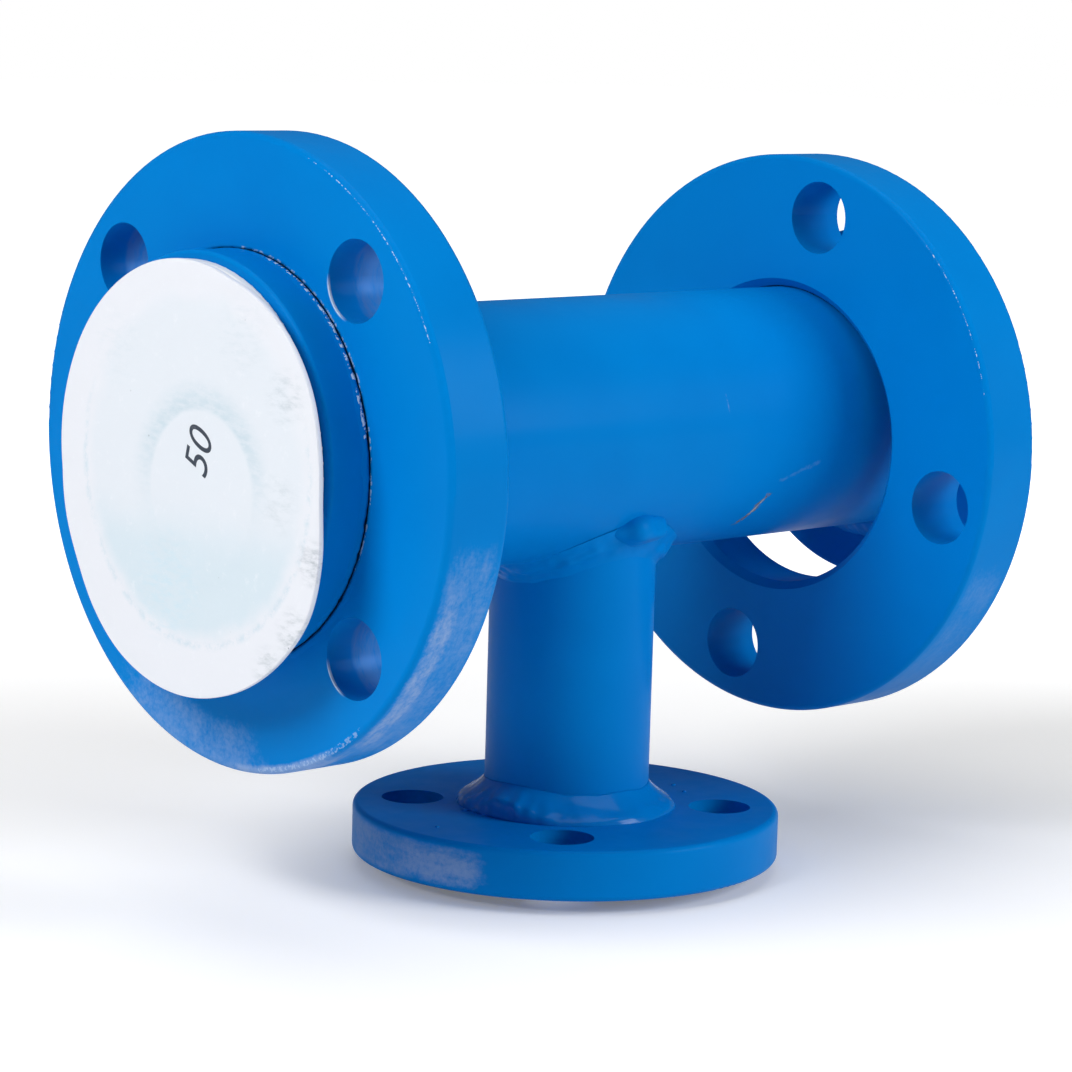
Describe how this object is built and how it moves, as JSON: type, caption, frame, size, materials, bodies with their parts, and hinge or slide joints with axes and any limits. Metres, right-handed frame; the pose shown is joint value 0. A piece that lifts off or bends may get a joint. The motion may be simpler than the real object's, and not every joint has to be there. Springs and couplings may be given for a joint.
{
  "type": "lined reducing tee",
  "caption": "Blue steel pipe tee with a plastic lining, two turning run flanges, a smaller welded branch flange and a white disc over one end.",
  "frame": {"origin": "where the run axis and the branch axis cross", "axes": "+X along the run towards the open end, -Z down the branch"},
  "size_m": [0.2515, 0.15, 0.189],
  "materials": {
    "blue_paint": "semi-gloss enamel over steel, scuffed on the flange rims",
    "lining": "smooth moulded fluoropolymer",
    "cover_sheet": "matt plastic sheet with grey handling marks"
  },
  "bodies": {
    "fitting": {"run_pipe": "blue_paint", "branch_pipe": "blue_paint", "saddle_weld": "blue_paint", "front_collar": "blue_paint", "rear_collar": "blue_paint", "front_collar_weld": "blue_paint", "rear_collar_weld": "blue_paint", "branch_flange": "blue_paint", "branch_flange_weld": "blue_paint", "liner": "lining", "front_cover": "cover_sheet"},
    "front_flange_body": {"front_flange": "blue_paint"},
    "rear_flange_body": {"rear_flange": "blue_paint"}
  },
  "joints": [
    {"name": "front_flange_turn", "type": "hinge", "parent": "fitting", "child": "front_flange_body", "pos_m": [-0.1012, 0, 0], "axis": [1, 0, 0], "continuous": true},
    {"name": "rear_flange_turn", "type": "hinge", "parent": "fitting", "child": "rear_flange_body", "pos_m": [0.0831, 0, -0.0067], "axis": [1, 0, 0], "continuous": true}
  ]
}
